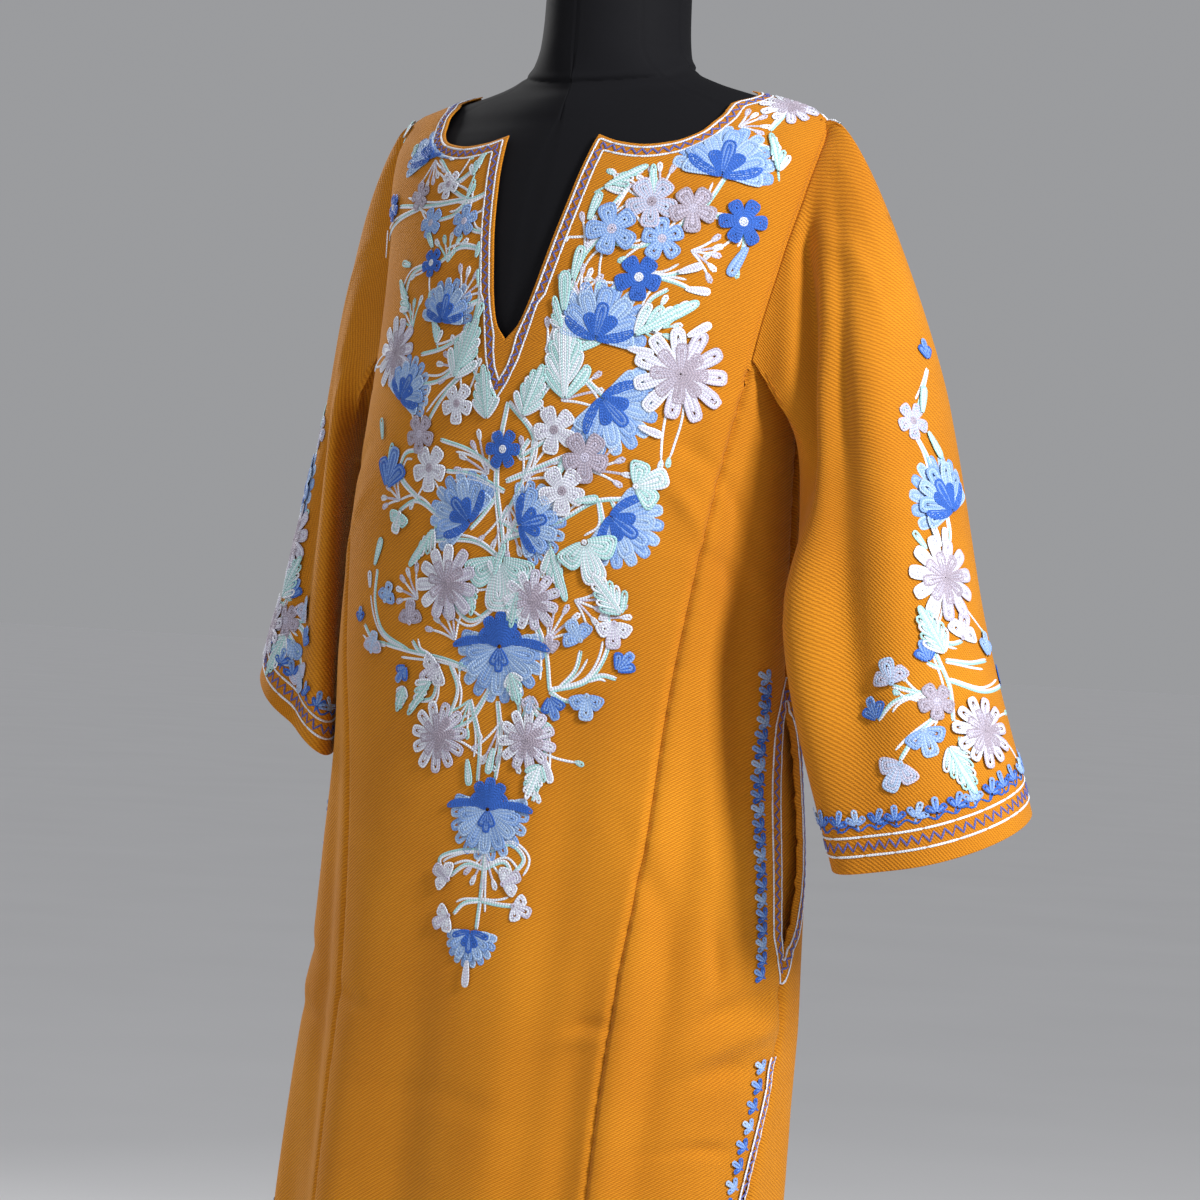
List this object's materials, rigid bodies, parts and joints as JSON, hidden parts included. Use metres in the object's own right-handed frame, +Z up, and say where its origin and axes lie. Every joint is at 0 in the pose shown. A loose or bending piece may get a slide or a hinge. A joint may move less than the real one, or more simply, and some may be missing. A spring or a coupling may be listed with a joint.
{
  "type": "pheran on a dress form",
  "caption": "Loose wool tunic with a slit neck, wide sleeves, side pockets and hem vents, embroidered on its front and sleeves, standing on a limbless dress form.",
  "frame": {"origin": "on the floor at the middle of the stand's base, straight under its pole", "axes": "+Z up, the garment's front faces -Y, the wearer's left side is +X"},
  "size_m": [0.7289, 0.42, 1.5073],
  "materials": {
    "wool": "mustard wool twill, slightly fuzzy",
    "form_cover": "matte black cloth cover",
    "stand_metal": "black powder coat"
  },
  "bodies": {
    "root": {"front_centre": "wool", "back_panel": "wool", "side_front_left": "wool", "side_front_right": "wool", "pocket_left": "wool", "pocket_right": "wool", "sleeve_left": "wool", "sleeve_right": "wool", "form_body": "form_cover", "form_neck_cap": "form_cover", "stand_socket": "stand_metal", "stand_pole": "stand_metal", "stand_base": "stand_metal"}
  },
  "joints": []
}
